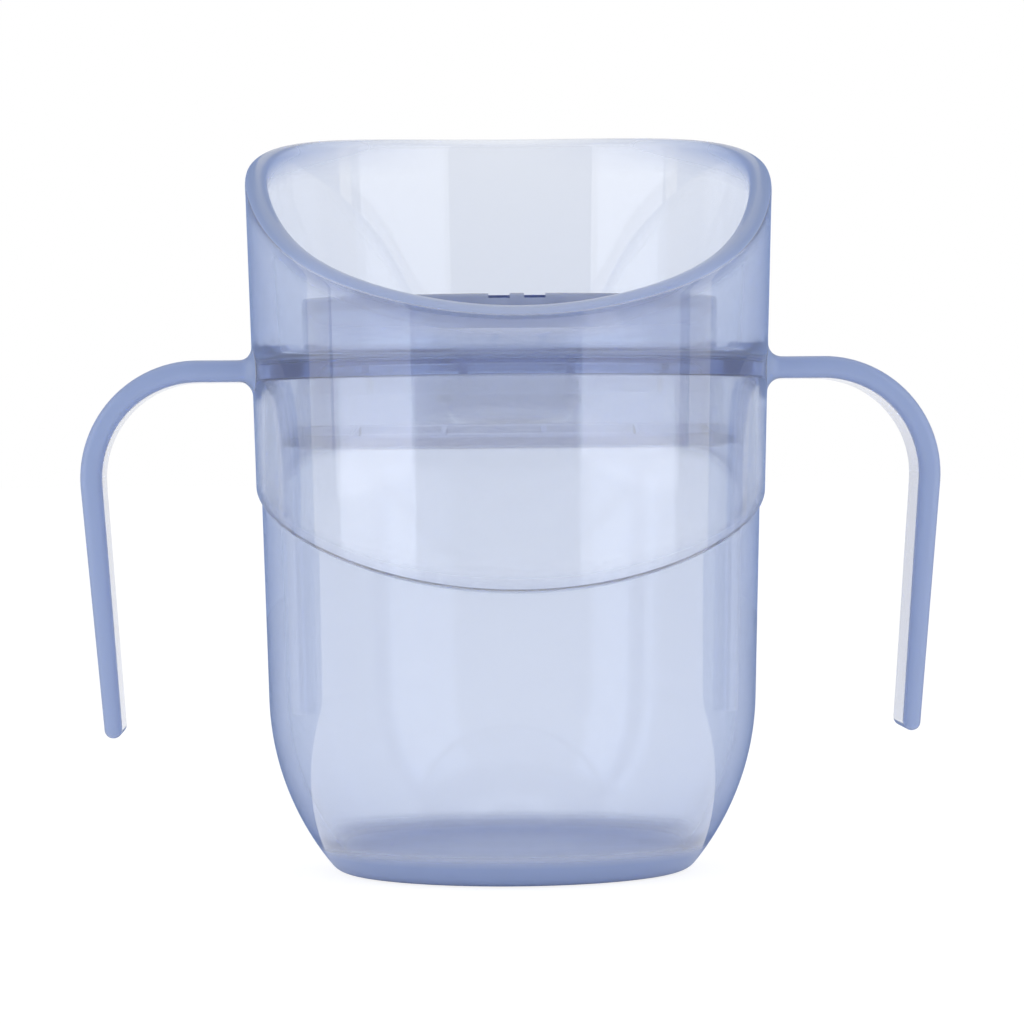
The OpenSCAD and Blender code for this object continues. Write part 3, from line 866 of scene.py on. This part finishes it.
for piece, bulk_at in ((reservoir, cup_bulk), (collar, collar_bulk), (cap, cap_bulk)):
    layer = piece.data.attributes.new("bulk", "FLOAT", "POINT")
    amounts = [bulk_at(*(v.co / MM)) for v in piece.data.vertices]
    layer.data.foreach_set("value", amounts)
    print(f"{piece.name}: mean bulk {sum(amounts) / len(amounts):.2f}")

# %% [markdown]
# The dye takes red light away first, so the blue deepens wherever the eye looks along a wall and not
# through it.
# It is inside the plastic, so it is a volume shader, and the skin over it stays nearly white.
# The limiter's two pieces carry less dye, since they lie behind two walls and still look light.

# %% Materials
DYE = (66, 53, 25)
CLEAR_SKIN = "#FDFEFF"
MILKY_BLUE = "#9FB1D9"
MILKY_CLEAR, MILKY_ROUGHNESS, MILKY_COAT = 0.25, 0.3, 0.3
FLOW_WIDTH, POLISH_SPREAD = 14, 0.15
INDEX = 1.38


def linear(hex_colour):
    """An sRGB hex colour as linear RGBA."""
    parts = [int(hex_colour[i : i + 2], 16) / 255 for i in (1, 3, 5)]
    return [c / 12.92 if c <= 0.04045 else ((c + 0.055) / 1.055) ** 2.4 for c in parts] + [1]


def add(tree, kind, settings=None, links=None):
    """Adds a node, sets its properties and inputs, and links its inputs."""
    node = tree.nodes.new(kind)
    for key, value in (settings or {}).items():
        if isinstance(key, int) or key in node.inputs:
            node.inputs[key].default_value = value
        else:
            setattr(node, key, value)
    for key, source in (links or {}).items():
        tree.links.new(source, node.inputs[key])
    return node


def plastic(name, amount, clear, roughness, skin_roughness):
    """A dyed, hazy plastic.

    amount scales the dye, which is counted per metre, and clear is how much light a thin wall lets through.
    """
    material = bpy.data.materials.new(name)
    material.use_nodes = True
    tree = material.node_tree
    tree.nodes.clear()
    place = add(tree, "ShaderNodeTexCoord")
    # Flow marks of the moulding: the polish varies a little over patches about 14 mm wide.
    flow = add(
        tree,
        "ShaderNodeTexNoise",
        {"Scale": 1 / (FLOW_WIDTH * MM), "Detail": 2.0},
        {"Vector": place.outputs["Object"]},
    )
    gloss = add(
        tree,
        "ShaderNodeMapRange",
        {"To Min": roughness * (1 - POLISH_SPREAD), "To Max": roughness * (1 + POLISH_SPREAD)},
        {"Value": flow.outputs["Fac"]},
    )
    bulk = add(tree, "ShaderNodeAttribute", {"attribute_name": "bulk"})
    colour = add(
        tree,
        "ShaderNodeMix",
        {"data_type": "RGBA", 6: linear(CLEAR_SKIN), 7: linear(MILKY_BLUE)},
        {0: bulk.outputs["Fac"]},
    )
    clearness = add(
        tree,
        "ShaderNodeMapRange",
        {"To Min": clear, "To Max": MILKY_CLEAR},
        {"Value": bulk.outputs["Fac"]},
    )
    # Thick places are less glossy, because light leaves them from below the skin.
    satin = add(
        tree,
        "ShaderNodeMath",
        {"operation": "MULTIPLY_ADD", 1: MILKY_ROUGHNESS},
        {0: bulk.outputs["Fac"], 2: gloss.outputs["Result"]},
    )
    skin = add(
        tree,
        "ShaderNodeMapRange",
        {"To Min": 1.0, "To Max": MILKY_COAT},
        {"Value": bulk.outputs["Fac"]},
    )
    # Polypropylene has an index of 1.49; it is matched to the object, whose hazy walls bend light less.
    # The coat is the polished skin, which gives the eye the sharp light strips.
    shader = add(
        tree,
        "ShaderNodeBsdfPrincipled",
        {"IOR": INDEX, "Coat Roughness": skin_roughness},
        {
            "Base Color": colour.outputs[2],
            "Roughness": satin.outputs["Value"],
            "Coat Weight": skin.outputs["Result"],
            "Transmission Weight": clearness.outputs["Result"],
        },
    )
    # Blender's absorption colour is what passes, so the dye is turned round.
    strongest = max(DYE)
    passed = [1 - part / strongest for part in DYE] + [1]
    inside = add(tree, "ShaderNodeVolumeAbsorption", {"Color": passed, "Density": strongest * amount})
    add(
        tree,
        "ShaderNodeOutputMaterial",
        links={"Surface": shader.outputs["BSDF"], "Volume": inside.outputs["Volume"]},
    )
    return material


# Silicone is moulded in duller tools, so its skin blurs the light strips that the polished shells show.
polypropylene = plastic("translucent polypropylene", 1.0, 0.93, 0.05, 0.03)
deeper = plastic("deeper dyed polypropylene", 1.3, 0.93, 0.05, 0.03)
natural = plastic("lightly dyed polypropylene", 0.75, 0.95, 0.05, 0.03)
silicone = plastic("translucent silicone", 6, 0.9, 0.15, 0.25)
for material, pieces in (
    (polypropylene, (collar,)),
    (deeper, (reservoir,)),
    (natural, (tray, cap)),
    (silicone, (valve, o_ring, seal)),
):
    for piece in pieces:
        piece.data.materials.append(material)
    print(material.name, "on", [piece.name for piece in pieces])

# %% [markdown]
# The studio is white, as for a catalogue picture, so the eye sees white straight through the plastic.
# Two tall softboxes stand in front, left and right, and draw the upright light strips on the walls.

# %% White room and softboxes
ROOM_LIGHT = 0.75
BOX_LIFT, BOX_DISTANCE, BOX_HEIGHT, BOX_POWER = 8, 1.0, 1.2, 3.0
AIM_HEIGHT = 60
world = bpy.data.worlds.new("white_studio")
scene.world = world
world.use_nodes = True
tree = world.node_tree
tree.nodes.clear()
path = add(tree, "ShaderNodeLightPath")
straight = add(
    tree,
    "ShaderNodeMath",
    {"operation": "MAXIMUM"},
    {0: path.outputs["Is Camera Ray"], 1: path.outputs["Is Transmission Ray"]},
)
seen = add(
    tree,
    "ShaderNodeMath",
    {"operation": "MAXIMUM"},
    {0: straight.outputs["Value"], 1: path.outputs["Is Glossy Ray"]},
)
strength = add(
    tree,
    "ShaderNodeMapRange",
    {"To Min": ROOM_LIGHT, "To Max": 1.0},
    {"Value": seen.outputs["Value"]},
)
backdrop = add(
    tree,
    "ShaderNodeBackground",
    {"Color": (1, 1, 1, 1)},
    {"Strength": strength.outputs["Result"]},
)
add(tree, "ShaderNodeOutputWorld", links={"Surface": backdrop.outputs["Background"]})


def softbox(name, turn, width):
    """An area lamp aimed at the cup's middle; turn is measured from the camera, to the right."""
    lamp = bpy.data.lights.new(name, "AREA")
    lamp.shape = "RECTANGLE"
    lamp.size = width
    lamp.size_y = BOX_HEIGHT
    lamp.energy = BOX_POWER
    holder = bpy.data.objects.new(name, lamp)
    scene.collection.objects.link(holder)
    a = EYE_TURN + radians(turn)
    e = radians(BOX_LIFT)
    middle = Vector((0, 0, AIM_HEIGHT * MM))
    holder.location = middle + BOX_DISTANCE * Vector((sin(a) * cos(e), -cos(a) * cos(e), sin(e)))
    holder.rotation_euler = (middle - holder.location).to_track_quat("-Z", "Y").to_euler()
    holder.visible_camera = False
    print(f"{name}: {width} x {BOX_HEIGHT} m, {BOX_POWER} W, {turn} degrees from the camera")


softbox("left_softbox", turn=-63, width=0.73)
softbox("right_softbox", turn=55, width=0.9)

# %% [markdown]
# A clear cup on white would lose its outline, so a photographer stands dark cards, called flags, beside it.
# The walls mirror them only where the eye grazes the plastic, and every edge gets its darker line.
# A dim wall behind the camera does the same for the front, where it leaves the softboxes as the only
# bright strips.
# Only reflections see these cards.

# %% Flags
FLAG_STEPS = 24
FLAG_NEAR, FLAG_FAR = 12, 85
FLAG_BLUE, WALL_BLUE = "#8598C2", "#9FA9C0"
SIDE_FLAG = [(28, 0.4), (300, 0.4), (380, 20), (400, 100), (400, 700)]
FRONT_WALL = [(1500, -1), (1500, 2500)]


def flag(name, section, first, last, colour):
    """A card bent round the cup, with section (r, z) in mm; angles count from straight behind the cup."""
    shape = bmesh.new()
    columns = []
    for i in range(FLAG_STEPS + 1):
        a = radians(first + (last - first) * i / FLAG_STEPS) - EYE_TURN
        columns.append([shape.verts.new((r * sin(a) * MM, r * cos(a) * MM, z * MM)) for r, z in section])
    for here, there in zip(columns, columns[1:]):
        for j in range(len(section) - 1):
            shape.faces.new((here[j], there[j], there[j + 1], here[j + 1]))
    mesh = bpy.data.meshes.new(name)
    shape.to_mesh(mesh)
    shape.free()
    card = bpy.data.objects.new(name, mesh)
    scene.collection.objects.link(card)
    for kind in ("camera", "transmission", "diffuse", "volume_scatter", "shadow"):
        setattr(card, "visible_" + kind, False)
    felt = bpy.data.materials.new(name + " felt")
    felt.use_nodes = True
    felt.node_tree.nodes.clear()
    matte = add(felt.node_tree, "ShaderNodeBsdfDiffuse", {"Color": linear(colour)})
    add(felt.node_tree, "ShaderNodeOutputMaterial", links={"Surface": matte.outputs["BSDF"]})
    mesh.materials.append(felt)
    print(f"{name}: {first} to {last} degrees, {section[0][0]} to {section[-1][0]} mm from the axis")


flag("left_flag", SIDE_FLAG, -FLAG_FAR, -FLAG_NEAR, FLAG_BLUE)
flag("right_flag", SIDE_FLAG, FLAG_NEAR, FLAG_FAR, FLAG_BLUE)
flag("front_wall", FRONT_WALL, 95, 265, WALL_BLUE)

# %% [markdown]
# The cup stands on white seamless paper.
# The camera sees it glow nearly white with a faint shadow. Every other ray sees white paper with a painted
# glow on it, and ambient occlusion fades that glow into a painted shadow right under the foot.

# %% Paper floor
PAPER_GLOW, PAPER_SHADE = 0.85, 0.25
PAPER_WHITE, PAPER_FILL, SHADE_REACH = 0.9, 0.33, 60
PAPER_HALF, PAPER_DROP = 6, 0.2
floor_shape = bmesh.new()
bmesh.ops.create_grid(floor_shape, x_segments=8, y_segments=8, size=PAPER_HALF)
floor_mesh = bpy.data.meshes.new("studio_floor")
floor_shape.to_mesh(floor_mesh)
floor_shape.free()
floor = bpy.data.objects.new("studio_floor", floor_mesh)
scene.collection.objects.link(floor)
floor.location.z = -PAPER_DROP * MM
paper = bpy.data.materials.new("white seamless paper")
paper.use_nodes = True
tree = paper.node_tree
tree.nodes.clear()
path = add(tree, "ShaderNodeLightPath")
# Painted shadow: for every ray but the camera's, the paper's painted glow fades out near the foot by ambient
# occlusion.
painted_shadow_ao = add(tree, "ShaderNodeAmbientOcclusion", {"Distance": SHADE_REACH * MM})
fill = add(tree, "ShaderNodeMath", {"operation": "MULTIPLY", 1: PAPER_FILL}, {0: painted_shadow_ao.outputs["AO"]})
level = add(
    tree,
    "ShaderNodeMapRange",
    {"To Max": PAPER_GLOW},
    {"Value": path.outputs["Is Camera Ray"], "To Min": fill.outputs["Value"]},
)
white = add(
    tree,
    "ShaderNodeMapRange",
    {"To Min": PAPER_WHITE, "To Max": PAPER_SHADE},
    {"Value": path.outputs["Is Camera Ray"]},
)
glow = add(tree, "ShaderNodeEmission", {"Color": (1, 1, 1, 1)}, {"Strength": level.outputs["Result"]})
matte = add(tree, "ShaderNodeBsdfDiffuse", links={"Color": white.outputs["Result"]})
both = add(tree, "ShaderNodeAddShader", links={0: glow.outputs["Emission"], 1: matte.outputs["BSDF"]})
add(tree, "ShaderNodeOutputMaterial", links={"Surface": both.outputs["Shader"]})
floor_mesh.materials.append(paper)
print(f"studio_floor: {2 * PAPER_HALF} m square, {PAPER_DROP} mm below the foot")

# %% [markdown]
# Light goes through many skins before it leaves the cup, so the paths are long.
# The filter that blurs glossy bounces is off, because inside hazy plastic it swallows light and turns it
# grey.

# %% Light paths
scene.view_settings.view_transform = "Standard"
scene.cycles.max_bounces = 40
scene.cycles.diffuse_bounces = 8
scene.cycles.glossy_bounces = 24
scene.cycles.transmission_bounces = 40
scene.cycles.blur_glossy = 0.0
print("bounces:", scene.cycles.max_bounces)
